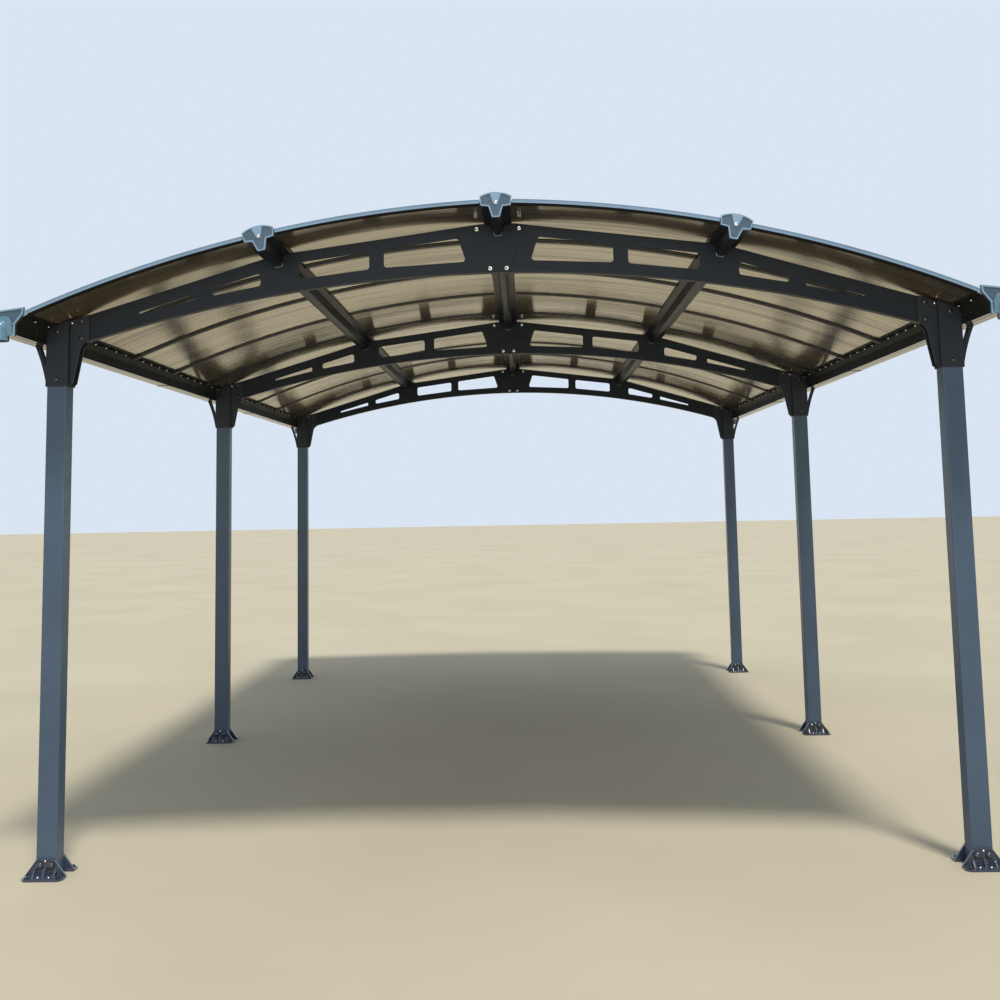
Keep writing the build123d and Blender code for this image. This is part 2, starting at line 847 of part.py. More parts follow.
def gutter():
    """Gutter of the right side: its lengths, and a sleeve over each joint."""
    end = gutter_end()
    length = 2 * end / GUTTER_LENGTHS
    section = gutter_section()
    lengths = []
    sleeves = []
    for number in range(GUTTER_LENGTHS):
        start = -end + number * length
        first = 0 if number == 0 else SEAT / 2
        last = 0 if number == GUTTER_LENGTHS - 1 else SEAT / 2
        piece = along_y(section, start + first, start + length - last)
        if number == 0:
            piece -= outlet_bore()
        if number == GUTTER_LENGTHS - 1:
            piece -= turned(outlet_bore())
        lengths.append(piece)
        if number > 0:
            sleeves.append(splice_sleeve(start))
    return lengths + sleeves


def gutters():
    right = gutter()
    return {"gutter_right": right, "gutter_left": [mirrored(piece) for piece in right]}


# Gutter end caps

def outlet_place(z):
    """Axis of the outlet at the front end of the right gutter."""
    face_y = -gutter_end() - SEAT - GUTTER_CAP_THICKNESS
    return Pos(POST_SPAN / 2 + SPIGOT_OUT, face_y - SPIGOT_PROUD + SPIGOT_RADIUS, z)


def outlet_bore():
    """Socket for the rain pipe, narrower above the stop and through the floor of the gutter."""
    low = gutter_bottom() - SPIGOT_LENGTH - SEAT
    stop = gutter_bottom() - SEAT
    high = gutter_bottom() + SPIGOT_SHOULDER
    radius = SPIGOT_RADIUS - SPIGOT_WALL
    socket = outlet_place(low) * extrude(Circle(radius), amount=stop - low)
    return socket + outlet_place(low) * extrude(Circle(radius - SPIGOT_STOP), amount=high - low)


def outlet_body():
    """Tube under the gutter, with a dome on its front half."""
    low = gutter_bottom() - SPIGOT_LENGTH
    shoulder = gutter_bottom() + SPIGOT_SHOULDER
    back = -gutter_end() - SEAT
    end = back + 2 * SPIGOT_RADIUS
    tube = outlet_place(low) * extrude(Circle(SPIGOT_RADIUS), amount=shoulder - low)
    tube -= along_y(offset(gutter_filled(), amount=SEAT), back, end)
    dome = outlet_place(shoulder) * Sphere(SPIGOT_RADIUS)
    behind = box_between(
        (0, back, gutter_bottom()), (2 * gutter_out_x(), end, RIDGE_HEIGHT),
    )
    return tube + (dome - behind)


def gutter_cap_foot():
    return gutter_bottom() - GUTTER_CAP_FOOT_DROP


def gutter_cap_outline():
    face_x = POST_SPAN / 2
    out = gutter_out_x() + CAP_RIM
    bend_x = face_x + GUTTER_CAP_BEND_OUT
    foot = gutter_cap_foot()
    return outline(
        (face_x - GUTTER_CAP_TOP_BACK, eave_height() + GUTTER_CAP_RISE),
        (face_x - GUTTER_CAP_SIDE_BACK, eave_height() + GUTTER_CAP_SIDE_RISE),
        (bend_x, gutter_bend() - GUTTER_CAP_BEND_DROP), (bend_x, foot),
        (gutter_wall_x() + GUTTER_BOTTOM_WIDTH, foot), (out, gutter_rim()),
        (out, gutter_rim() + GUTTER_CAP_OUTER_RISE),
    )


def outlet_collar():
    """Raised plate around the outlet, with bevelled shoulders."""
    x = POST_SPAN / 2 + SPIGOT_OUT
    bottom = gutter_bottom()
    foot = gutter_cap_foot()
    plate = outline(
        (x - COLLAR_WAIST_HALF, foot), (x - COLLAR_WAIST_HALF, bottom + COLLAR_WAIST),
        (x - COLLAR_SHOULDER_HALF, bottom + COLLAR_SHOULDER),
        (x - COLLAR_TOP_HALF, bottom + COLLAR_TOP), (x + COLLAR_TOP_HALF, bottom + COLLAR_TOP),
        (x + COLLAR_SHOULDER_HALF, bottom + COLLAR_SHOULDER),
        (x + COLLAR_WAIST_HALF, bottom + COLLAR_WAIST), (x + COLLAR_WAIST_HALF, foot),
    )
    return plate & gutter_cap_outline()


def gutter_cap():
    """Facetted cap on the front end of the right gutter, with its outlet."""
    back = -gutter_end() - SEAT
    front = back - GUTTER_CAP_THICKNESS
    face = gutter_cap_outline()
    cap = along_y(face, front, back)
    sunk = offset(face, amount=-GUTTER_CAP_BORDER)
    cap -= along_y(sunk, front - GUTTER_CAP_RECESS, front + GUTTER_CAP_RECESS)
    cap += along_y(outlet_collar(), front - COLLAR_DEPTH, back)
    return cap + outlet_body() - outlet_bore()


def gutter_caps():
    right = gutter_cap()
    front = [right, mirrored(right)]
    return {"gutter_ends_front": front, "gutter_ends_rear": [turned(cap) for cap in front]}


# Feet

def shoe_front_face():
    """Trapezoid with round upper corners that stands against the post."""
    face = outline(
        (-SHOE_BASE_HALF, 0), (SHOE_BASE_HALF, 0), (SHOE_BASE_HALF, SHOE_FLANGE),
        (SHOE_TOP_HALF, SHOE_HEIGHT), (-SHOE_TOP_HALF, SHOE_HEIGHT), (-SHOE_BASE_HALF, SHOE_FLANGE),
    )
    upper = face.vertices().sort_by(Axis.Y)[-2:]
    return fillet(upper, SHOE_TOP_CORNER)


def shoe():
    """Ribbed shoe on a face at Y = 0, reaching towards -Y, centred on X = 0."""
    front = -SHOE_FLANGE_REACH
    half = SHOE_BASE_HALF
    cut = SHOE_CORNER_CUT
    flange = extrude(
        outline(
            (-half, 0), (-half, front + cut), (-half + cut, front),
            (half - cut, front), (half, front + cut), (half, 0),
        ),
        amount=SHOE_FLANGE,
    )
    plate = shoe_front_face()
    rim = plate - offset(plate, amount=-SHOE_RIM)
    body = flange + extrude(Plane.XZ * plate, amount=SHOE_WALL)
    body += extrude(Plane.XZ * rim, amount=SHOE_WALL + SHOE_RIM_PROUD)
    for number in (-1, 0, 1):
        top = SHOE_RIB_TOP if number == 0 else SHOE_SIDE_RIB_TOP
        profile = Plane.YZ * outline(
            (0, 0), (-SHOE_RIB_REACH, 0), (-SHOE_RIB_REACH, SHOE_FLANGE),
            (-SHOE_RIB_TOP_REACH, top), (0, top),
        )
        rib = extrude(profile, amount=SHOE_RIB / 2, both=True)
        body += Pos(number * SHOE_RIB_SPACING, 0, 0) * rib
    for side in (-1, 1):
        pad = Plane.XZ * Pos(side * SHOE_PAD_SPACING / 2, SHOE_PAD_HEIGHT) * Circle(SHOE_PAD_RADIUS)
        body += extrude(pad, amount=SHOE_WALL + SHOE_PAD_PROUD)
        hole = Pos(side * ANCHOR_SPACING / 2, -ANCHOR_FORWARD, 0) * Circle(ANCHOR_HOLE_RADIUS)
        body -= extrude(hole, amount=SHOE_FLANGE)
    return body


def foot(y):
    """Two shoes, on the front and the rear face of one post."""
    front = Pos(POST_X, -POST_DEPTH / 2 - SEAT, 0) * shoe()
    rear = turned(front)
    return [Pos(0, y, 0) * front, Pos(0, y, 0) * rear]


def feet():
    nodes = {}
    for row, y in row_places().items():
        pair = foot(y)
        nodes[f"foot_{row}_right"] = pair
        nodes[f"foot_{row}_left"] = [mirrored(piece) for piece in pair]
    return nodes


# Whole carport

def nodes():
    model = {}
    for build in (
        posts, feet, post_heads, arches, joint_plates, purlins, purlin_caps, gutters, gutter_caps,
        trims, panels, strips,
    ):
        model.update(build())
    return model


def main():
    os.makedirs("parts", exist_ok=True)
    for name, piece in nodes().items():
        solids = piece if isinstance(piece, list) else [piece]
        solids = [solid for part in solids for solid in part.solids()]
        export_step(Compound(children=solids), f"parts/{name}.step")


main()
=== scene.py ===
"""Arched carport on six posts, dressed for the picture.

The frame comes packed. Metres; X across the drive, Y to the rear, Z up.
Pieces are drawn for the right side and repeated on the left one.
"""
import math

import bmesh
import bpy
from mathutils import Matrix, Vector


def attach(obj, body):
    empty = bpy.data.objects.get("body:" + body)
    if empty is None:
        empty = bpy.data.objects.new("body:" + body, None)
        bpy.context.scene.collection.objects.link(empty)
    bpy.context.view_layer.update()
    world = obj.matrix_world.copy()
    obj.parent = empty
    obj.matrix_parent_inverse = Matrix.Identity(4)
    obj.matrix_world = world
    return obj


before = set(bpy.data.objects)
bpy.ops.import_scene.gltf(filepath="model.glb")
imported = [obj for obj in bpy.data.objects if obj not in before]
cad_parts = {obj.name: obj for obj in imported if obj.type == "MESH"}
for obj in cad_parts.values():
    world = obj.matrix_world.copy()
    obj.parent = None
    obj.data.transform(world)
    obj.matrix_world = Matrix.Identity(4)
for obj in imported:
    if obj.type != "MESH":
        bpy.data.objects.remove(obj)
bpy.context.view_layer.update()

# Places of the frame
POST_X = 1.6692
ARCH_ROWS = (-2.22, 0.0, 2.22)
PANEL_PITCH = 0.555
PANEL_COUNT = 9
ROOF_HALF_LENGTH = PANEL_COUNT * PANEL_PITCH / 2
GUTTER_WALL_X = 1.7118
GUTTER_UNDERSIDE = 1.935
GUTTER_JOINT_Y = 0.8325

# Curve of the underside of the roof
RIDGE_HEIGHT = 2.3735
ROOF_RADIUS = 4.627
RIDGE_LEAD = 0.123
QUARTER_X = 0.845
ARCH_CENTRE_Z = RIDGE_HEIGHT - math.sqrt(ROOF_RADIUS**2 - RIDGE_LEAD**2)

# Faces in a row of posts, measured from the middle of the row
ARCH_FACE = 0.0150
JOINT_FACE = 0.0183
SLEEVE_FACE = 0.0353
CHEEK_FACE = 0.0203
POST_FACE = 0.0313
SHOE_FACE = 0.0383
SHOE_TOP_FACE = 0.0403

# Faces at the ends of the roof, measured from its middle
TRIM_FACE = ROOF_HALF_LENGTH + 0.0043
CAP_FACE = ROOF_HALF_LENGTH + 0.0143
GUTTER_CAP_FACE = ROOF_HALF_LENGTH + 0.0133

# Paint and sheet colours
POST_PAINT = (0.053, 0.085, 0.135)
# Post head colour: the frame's paint darkened with painted shade under the roof
HEAD_PAINT_AND_PAINTED_SHADE = (0.018, 0.022, 0.028)
# Arch colour: the frame's paint darkened with painted shade from the roof above
ARCH_PAINT_AND_PAINTED_SHADE = (0.013, 0.017, 0.023)
# Purlin colour: dark frame paint made darker with painted shade under the sheets
PURLIN_PAINT_AND_PAINTED_SHADE = (0.012, 0.014, 0.018)
# Gutter colour: the frame's paint made darker and warmer with painted shade
GUTTER_PAINT_AND_PAINTED_SHADE = (0.016, 0.017, 0.016)
# Trim colour: grey-blue paint lightened with a painted reflection of the sky; the end caps share it
TRIM_PAINT_AND_PAINTED_REFLECTION = (0.20, 0.305, 0.42)
# Painted shade: colour of the sunk faces of the end caps; the outlet shade below darkens their outlets
SUNK_PAINTED_SHADE = (0.055, 0.095, 0.135)
OUTLET_SHADE = (0.52, 0.66, 0.66)
SHOE_PAINT = (0.036, 0.050, 0.080)
DOME_PAINT = (0.018, 0.022, 0.036)
STRIP_PAINT = (0.012, 0.012, 0.013)
# Colour of the dark bolts, also used as painted shade in the sockets of the bright bolts
BOLT_PAINT_AND_SOCKET_SHADE = (0.012, 0.014, 0.017)
BRONZE = (0.12, 0.095, 0.058)
BRONZE_RIB = (0.6, 0.55, 0.5)
BRONZE_TINT = (1.0, 0.9, 0.7)
ZINC = (1.0, 0.98, 0.92)
# Painted highlight: light grey of the cut rims around the purlin toes
RIM_PAINTED_HIGHLIGHT = (0.50, 0.50, 0.47)
WHITE = (1.0, 1.0, 1.0)

# Bands beside a face of the frame in which one look turns into another
UNDERSIDE_BAND = (0.001, 0.004)
SUNK_BAND = (-0.0015, -0.001)
OUTLET_BAND = (0.0008, 0.0018)

# Flutes and grain of the sheet; the wave texture turns by its factor at scale one
FLUTE_PITCH = 0.0095
FLUTE_RIB_SHARE = 0.28
WAVE_FACTOR = 20.0
GRAIN_START = 0.38
GRAIN_END = 0.52

# How far dust moves the roughness of a paint
DUST_SPREAD = 0.06


def roof_angle(x):
    """Slope of the right half of the roof over a place X."""
    return math.asin((x + RIDGE_LEAD) / ROOF_RADIUS)


def roof_point(x, lift=0.0):
    """X and Z of a place on the underside, raised square to the roof."""
    reach = ROOF_RADIUS + lift
    angle = roof_angle(x)
    return -RIDGE_LEAD + reach * math.sin(angle), ARCH_CENTRE_Z + reach * math.cos(angle)


# Shader helpers

def principled(name):
    """New material with its node tree and shader."""
    material = bpy.data.materials.new(name)
    material.use_nodes = True
    tree = material.node_tree
    return material, tree, tree.nodes["Principled BSDF"]


def object_place(tree, scale=(1.0, 1.0, 1.0)):
    """Object coordinates stretched by a factor along each axis."""
    place = tree.nodes.new("ShaderNodeTexCoord")
    mapping = tree.nodes.new("ShaderNodeMapping")
    mapping.inputs["Scale"].default_value = scale
    tree.links.new(place.outputs["Object"], mapping.inputs["Vector"])
    return mapping.outputs["Vector"]


def place_along(tree, axis):
    """One object coordinate."""
    place = tree.nodes.new("ShaderNodeTexCoord")
    parts = tree.nodes.new("ShaderNodeSeparateXYZ")
    tree.links.new(place.outputs["Object"], parts.inputs["Vector"])
    return parts.outputs[axis]


def noise(tree, vector, scale, detail, roughness=0.5):
    """Soft random value over a vector."""
    node = tree.nodes.new("ShaderNodeTexNoise")
    node.inputs["Scale"].default_value = scale
    node.inputs["Detail"].default_value = detail
    node.inputs["Roughness"].default_value = roughness
    tree.links.new(vector, node.inputs["Vector"])
    return node.outputs["Fac"]


def slope_noise(tree, up, along, detail, roughness=0.5):
    """Noise with one scale up the slope of the roof and another along it."""
    return noise(tree, object_place(tree, (up, along, up)), 1.0, detail, roughness)


def ramp(tree, factor, low, high):
    """Colour ramp between two stops of a place and a colour."""
    node = tree.nodes.new("ShaderNodeValToRGB")
    for element, (place, colour) in zip(node.color_ramp.elements, (low, high)):
        element.position = place
        element.color = (*colour, 1.0)
    tree.links.new(factor, node.inputs["Fac"])
    return node.outputs["Color"]


def scaled(colour, factor):
    """A colour with each channel times a factor."""
    return tuple(channel * factor for channel in colour)


def shades(tree, factor, colour, dark, light, start, end):
    """Ramp from a darker to a lighter shade of one colour."""
    return ramp(tree, factor, (start, scaled(colour, dark)), (end, scaled(colour, light)))


def spread(tree, factor, low, high, start=0.0, end=1.0):
    """A value moved from one span to another."""
    node = tree.nodes.new("ShaderNodeMapRange")
    node.inputs["From Min"].default_value = start
    node.inputs["From Max"].default_value = end
    node.inputs["To Min"].default_value = low
    node.inputs["To Max"].default_value = high
    tree.links.new(factor, node.inputs["Value"])
    return node.outputs["Result"]


def beside(tree, place, face, band, low=0.0, high=1.0):
    """A value that turns from low to high within a band beside a face."""
    start, end = band
    return spread(tree, place, low, high, face + start, face + end)


def multiplied(tree, first, second):
    """Product of two linked colours."""
    node = tree.nodes.new("ShaderNodeMix")
    node.data_type = "RGBA"
    node.blend_type = "MULTIPLY"
    node.inputs["Factor"].default_value = 1.0
    colours = [socket for socket in node.inputs if socket.type == "RGBA"]
    tree.links.new(first, colours[0])
    tree.links.new(second, colours[1])
    return [socket for socket in node.outputs if socket.type == "RGBA"][0]


def larger(tree, first, second):
    """The larger of two linked values."""
    node = tree.nodes.new("ShaderNodeMath")
    node.operation = "MAXIMUM"
    tree.links.new(first, node.inputs[0])
    tree.links.new(second, node.inputs[1])
    return node.outputs["Value"]


def upward(tree):
    """One on faces that look up, nought on faces that look down."""
    face = tree.nodes.new("ShaderNodeNewGeometry")
    parts = tree.nodes.new("ShaderNodeSeparateXYZ")
    tree.links.new(face.outputs["True Normal"], parts.inputs["Vector"])
    return spread(tree, parts.outputs["Z"], low=0.0, high=1.0, start=-0.1, end=0.1)


def bump(tree, height, distance, strength, normal=None):
    """Normal tilted by a height, over another normal if one is given."""
    node = tree.nodes.new("ShaderNodeBump")
    node.inputs["Strength"].default_value = strength
    node.inputs["Distance"].default_value = distance
    tree.links.new(height, node.inputs["Height"])
    if normal is not None:
        tree.links.new(normal, node.inputs["Normal"])
    return node.outputs["Normal"]


def round_edges(tree, radius):
    """Normal that rounds sharp edges by a small radius."""
    node = tree.nodes.new("ShaderNodeBevel")
    node.samples = 4
    node.inputs["Radius"].default_value = radius
    return node.outputs["Normal"]


# Materials

def painted(name, colour, roughness, specular=0.5, coat=0.0, edge=0.0012, tint=None, gloss=None):
    """Sprayed metal: light clouding, orange peel, rounded edges and dust that dulls it."""
    material, tree, shader = principled(name)
    place = object_place(tree)
    cloudy = noise(tree, place, scale=3.0, detail=4.0, roughness=0.6)
    base = shades(tree, cloudy, colour, dark=0.88, light=1.12, start=0.3, end=0.7)
    if tint is not None:
        base = multiplied(tree, base, tint(tree))
    tree.links.new(base, shader.inputs["Base Color"])
    dull = noise(tree, place, scale=14.0, detail=5.0, roughness=0.65)
    dust = spread(tree, dull, roughness - DUST_SPREAD, roughness + DUST_SPREAD)
    tree.links.new(dust, shader.inputs["Roughness"])
    peel = noise(tree, place, scale=900.0, detail=2.0)
    normal = bump(tree, peel, distance=0.00004, strength=0.25, normal=round_edges(tree, edge))
    tree.links.new(normal, shader.inputs["Normal"])
    shader.inputs["Specular IOR Level"].default_value = specular
    shader.inputs["Coat Weight"].default_value = coat
    shader.inputs["Coat Roughness"].default_value = 0.08
    if gloss is not None:
        tree.links.new(gloss(tree), shader.inputs["Coat Weight"])
    return material


def smooth_underside(tree):
    """Gloss of the underside of the gutter; its walls are duller."""
    return beside(tree, place_along(tree, "Z"), GUTTER_UNDERSIDE, UNDERSIDE_BAND, low=1.0, high=0.0)


def sunk_and_outlet_painted_shade(tree):
    """Painted shade on the sunk faces and the outlets of the end caps, told by their place along Y."""
    size = tree.nodes.new("ShaderNodeMath")
    size.operation = "ABSOLUTE"
    tree.links.new(place_along(tree, "Y"), size.inputs[0])
    distance = size.outputs["Value"]
    depth = beside(tree, distance, GUTTER_CAP_FACE, SUNK_BAND)
    # Painted shade: the sunk faces turn to the sunk colour and the outlets are darkened by the outlet
    # shade
    dark = tuple(sunk / raised for sunk, raised in zip(SUNK_PAINTED_SHADE, TRIM_PAINT_AND_PAINTED_REFLECTION))
    sunk_faces_painted_shade = ramp(tree, depth, (0.0, dark), (1.0, WHITE))
    reach = beside(tree, distance, CAP_FACE, OUTLET_BAND)
    outlets = ramp(tree, reach, (0.0, WHITE), (1.0, OUTLET_SHADE))
    return multiplied(tree, sunk_faces_painted_shade, outlets)


def bare_metal(name, colour, roughness):
    """Zinc plated fastener with fine scratches."""
    material, tree, shader = principled(name)
    scratches = noise(tree, object_place(tree), scale=420.0, detail=4.0, roughness=0.7)
    base = shades(tree, scratches, colour, dark=0.8, light=1.0, start=0.3, end=0.7)
    tree.links.new(base, shader.inputs["Base Color"])
    worn = spread(tree, scratches, low=roughness - 0.05, high=roughness + 0.08)
    tree.links.new(worn, shader.inputs["Roughness"])
    tree.links.new(bump(tree, scratches, distance=0.00005, strength=0.4), shader.inputs["Normal"])
    shader.inputs["Metallic"].default_value = 1.0
    return material


def twin_wall_sheet(name, colour, rib_colour, tint):
    """Tinted hollow sheet: close flutes up the slope, rippled skin, mirror-like at low angles."""
    material, tree, shader = principled(name)
    place = object_place(tree)
    wave = tree.nodes.new("ShaderNodeTexWave")
    wave.wave_type = "BANDS"
    wave.bands_direction = "Y"
    wave.inputs["Scale"].default_value = math.tau / FLUTE_PITCH / WAVE_FACTOR
    tree.links.new(place, wave.inputs["Vector"])
    flutes = wave.outputs["Fac"]
    streaks = slope_noise(tree, up=1.2, along=60.0, detail=4.0, roughness=0.6)
    base = shades(tree, streaks, colour, dark=0.9, light=1.08, start=0.25, end=0.75)
    ribs = ramp(tree, flutes, (0.0, rib_colour), (FLUTE_RIB_SHARE, WHITE))
    tree.links.new(multiplied(tree, base, ribs), shader.inputs["Base Color"])
    patches = slope_noise(tree, up=1.5, along=4.0, detail=2.0)
    tree.links.new(spread(tree, patches, low=0.14, high=0.24), shader.inputs["Roughness"])
    ripples = slope_noise(tree, up=2.0, along=60.0, detail=3.0)
    soft = bump(tree, ripples, distance=0.0006, strength=0.6)
    fluted = bump(tree, flutes, distance=0.0003, strength=0.5, normal=soft)
    tree.links.new(fluted, shader.inputs["Normal"])
    fluted_gloss = bump(tree, flutes, distance=0.0002, strength=0.4, normal=soft)
    tree.links.new(fluted_gloss, shader.inputs["Coat Normal"])
    fibres = slope_noise(tree, up=0.7, along=30.0, detail=3.0, roughness=0.7)
    grain = larger(tree, fibres, upward(tree))
    coat_tint = shades(tree, grain, tint, dark=0.5, light=1.0, start=GRAIN_START, end=GRAIN_END)
    tree.links.new(coat_tint, shader.inputs["Coat Tint"])
    coat_weight = spread(tree, grain, low=0.62, high=1.0, start=GRAIN_START, end=GRAIN_END)
    tree.links.new(coat_weight, shader.inputs["Coat Weight"])
    shader.inputs["Transmission Weight"].default_value = 0.3
    shader.inputs["IOR"].default_value = 4.2
    shader.inputs["Coat Roughness"].default_value = 0.06
    shader.inputs["Coat IOR"].default_value = 1.55
    return material


post_paint = painted("post_paint", POST_PAINT, roughness=0.38)
# Post heads: frame paint with painted shade in its colour
head_paint_and_painted_shade = painted("head_paint_and_painted_shade", HEAD_PAINT_AND_PAINTED_SHADE, roughness=0.42, specular=0.3)
# Arches: frame paint with painted shade in its colour
arch_paint_and_painted_shade = painted("arch_paint_and_painted_shade", ARCH_PAINT_AND_PAINTED_SHADE, roughness=0.45, specular=0.22)
# Purlins: frame paint with painted shade in its colour
purlin_paint_and_painted_shade = painted("purlin_paint_and_painted_shade", PURLIN_PAINT_AND_PAINTED_SHADE, roughness=0.3, specular=0.05, edge=0.002)
# Gutter: frame paint with painted shade in its colour
gutter_paint_and_painted_shade = painted("gutter_paint_and_painted_shade", GUTTER_PAINT_AND_PAINTED_SHADE, roughness=0.5, specular=0.08, gloss=smooth_underside)
# Dark matt black of the ledge beads and of the bands below the edge trim
seal_and_band_black = painted("seal_and_band_black", STRIP_PAINT, roughness=0.7, specular=0.05)
# Edge trim and its ribs: grey-blue paint lightened with a painted reflection of the sky
trim_paint_and_painted_reflection = painted("trim_paint_and_painted_reflection", TRIM_PAINT_AND_PAINTED_REFLECTION, roughness=0.34, coat=0.15)
# End caps: trim colour with its painted reflection, and painted shade on the sunk faces and outlets
cap_paint_painted_reflection_and_shade = painted("cap_paint_painted_reflection_and_shade", TRIM_PAINT_AND_PAINTED_REFLECTION, roughness=0.32, coat=0.3, edge=0.0018, tint=sunk_and_outlet_painted_shade)
shoe_paint = painted("shoe_paint", SHOE_PAINT, roughness=0.2, coat=0.6, edge=0.0015)
strip_paint = painted("strip_paint", STRIP_PAINT, roughness=0.4, specular=0.3)
bolt_paint_and_socket_shade = painted("bolt_paint_and_socket_shade", BOLT_PAINT_AND_SOCKET_SHADE, roughness=0.18, coat=0.5, edge=0.0005)
dome_paint = painted("dome_paint", DOME_PAINT, roughness=0.12, coat=1.0, edge=0.0005)
sheet_bronze = twin_wall_sheet("sheet_bronze", BRONZE, BRONZE_RIB, BRONZE_TINT)
zinc = bare_metal("zinc", ZINC, roughness=0.14)
# Rims: light grey paint as a painted highlight
rim_painted_highlight = painted("rim_painted_highlight", RIM_PAINTED_HIGHLIGHT, roughness=0.25, coat=0.6, edge=0.0004)

NODE_MATERIALS = {
    "post_head": head_paint_and_painted_shade,
    "post": post_paint,
    "foot": shoe_paint,
    "arch": arch_paint_and_painted_shade,
    "ridge": purlin_paint_and_painted_shade,
    "quarter": purlin_paint_and_painted_shade,
    "purlin_caps": cap_paint_painted_reflection_and_shade,
    "gutter_ends": cap_paint_painted_reflection_and_shade,
    "gutter": gutter_paint_and_painted_shade,
    "edge_trim": trim_paint_and_painted_reflection,
    "roof_panels": sheet_bronze,
    "joint_strips": strip_paint,
}

for name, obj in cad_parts.items():
    prefix = max((key for key in NODE_MATERIALS if name.startswith(key)), key=len)
    obj.data.materials.clear()
    obj.data.materials.append(NODE_MATERIALS[prefix])


# Building blocks of the small pieces

UP = (0, 0, 1)
DOME_STEPS = 7
DOME_EDGE = 0.12
DOME_RISE = 0.88


def finished(name, shape, material):
    """New object from a bmesh, riding on the frame."""
    mesh = bpy.data.meshes.new(name)
    shape.to_mesh(mesh)
    shape.free()
    mesh.materials.append(material)
    piece = bpy.data.objects.new(name, mesh)
    bpy.context.scene.collection.objects.link(piece)
    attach(piece, "root")


def skin(shape, rings, smooth):
    """Closed skin over rings that each hold the same number of vertices."""
    count = len(rings[0])
    for low, high in zip(rings, rings[1:]):
        for step in range(count):
            after = (step + 1) % count
            side = shape.faces.new((low[step], low[after], high[after], high[step]))
            side.smooth = smooth
    shape.faces.new(rings[-1])
    shape.faces.new(list(reversed(rings[0])))


def lathe(shape, profile, place, axis, segments=20):
    """Round piece from a profile of radius and height."""
    turn = Vector(UP).rotation_difference(Vector(axis)).to_matrix().to_4x4()
    matrix = Matrix.Translation(place) @ turn
    rings = []
    for radius, height in profile:
        ring = []
        for step in range(segments):
            angle = math.tau * step / segments
            point = matrix @ Vector((radius * math.cos(angle), radius * math.sin(angle), height))
            ring.append(shape.verts.new(point))
        rings.append(ring)
    skin(shape, rings, smooth=True)


def swept_bar(shape, sections, smooth=False):
    """Closed bar through sections that each list the same number of points."""
    rings = [[shape.verts.new(point) for point in section] for section in sections]
    skin(shape, rings, smooth)


def dome_bolt(shape, place, axis, size):
    """Mushroom head with a thin edge."""
    radius, height = size
    profile = [(radius, 0), (radius, height * DOME_EDGE)]
    for step in range(1, DOME_STEPS):
        angle = math.radians(90 * step / DOME_STEPS)
        profile.append((radius * math.cos(angle), height * (DOME_EDGE + DOME_RISE * math.sin(angle))))
    lathe(shape, profile, place, axis)


def socket_bolt(shape, place, axis, size):
    """Round head with a rounded shoulder and a socket in its middle."""
    radius, height = size
    head = ((radius, 0), (radius, height * 0.55), (radius * 0.9, height * 0.85), (radius * 0.72, height))
    socket = ((radius * 0.42, height), (radius * 0.34, height * 0.35))
    lathe(shape, head + socket, place, axis)


def socket_painted_shade(shape, place, axis, size):
    """Dark disc in the socket of a bolt: painted shade in its hollow."""
    radius, height = size
    floor_radius = radius * 0.33
    lathe(shape, ((floor_radius, height * 0.3), (floor_radius, height * 0.4)), place, axis)


def hex_nut(shape, place, axis, size):
    """Hexagon with chamfered corners on a washer."""
    radius, height = size
    washer = radius * 1.35
    thin = height * 0.22
    lathe(shape, ((washer, 0), (washer, thin * 0.8), (washer * 0.95, thin)), place, axis)
    nut = ((radius, thin), (radius, height * 0.85), (radius * 0.85, height))
    lathe(shape, nut, place, axis, segments=6)


def both(point):
    """The same point on both sides."""
    x, y, z = point
    return ((x, y, z), (-x, y, z))


def face_bolts(shape, maker, places, y, axis, size):
    """The same bolt at each place of a list, on both sides."""
    for x, z in places:
        for place in both((x, y, z)):
            maker(shape, place, axis, size)


# Bolts of the arches, post heads and shoes

# Radius and height of each bolt, screw and nut
JOINT_BOLT = (0.009, 0.007)
SLEEVE_BOLT = (0.0098, 0.006)
CHEEK_BOLT = (0.0095, 0.0055)
CORNER_SCREW = (0.0045, 0.003)
SHOE_DOME = (0.0136, 0.0102)
SHOE_TOP_SCREW = (0.0042, 0.003)
FLANGE_SCREW = (0.005, 0.0035)
ANCHOR_NUT = (0.0065, 0.007)
CAP_SCREW = (0.0058, 0.003)
GUTTER_CAP_SCREW = (0.0022, 0.0015)
LEDGE_SCREW = (0.0052, 0.0038)
WALL_BOLT = (0.004, 0.0028)
GUTTER_JOINT_BOLT = (0.0045, 0.003)

# X and Z of the bolts of a joint plate, a sleeve and a cheek
JOINT_PLACES = ((0.080, 2.344), (0.031, 2.192))
SLEEVE_PLACES = ((1.671, 1.987), (1.671, 1.804))
CHEEK_PLACES = ((1.585, 2.026), (1.585, 1.962))
CORNER_PLACE = (1.6205, 2.020)

# Heights on a shoe, and distances sideways and forward from its post
PAD_HEIGHT = 0.043
PAD_HALF_SPACING = 0.02075
SHOE_TOP_HEIGHT = 0.060
FLANGE_TOP = 0.008
FLANGE_SCREW_SPREAD = 0.020
FLANGE_SCREW_FORWARD = 0.0223
ANCHOR_HALF_SPACING = 0.058
ANCHOR_FORWARD = 0.034

# Screws of the end caps
CAP_SCREW_DROP = 0.004
GUTTER_CAP_SCREW_PLACE = (1.7172, 1.9665)

bright = bmesh.new()
dark = bmesh.new()
domes = bmesh.new()


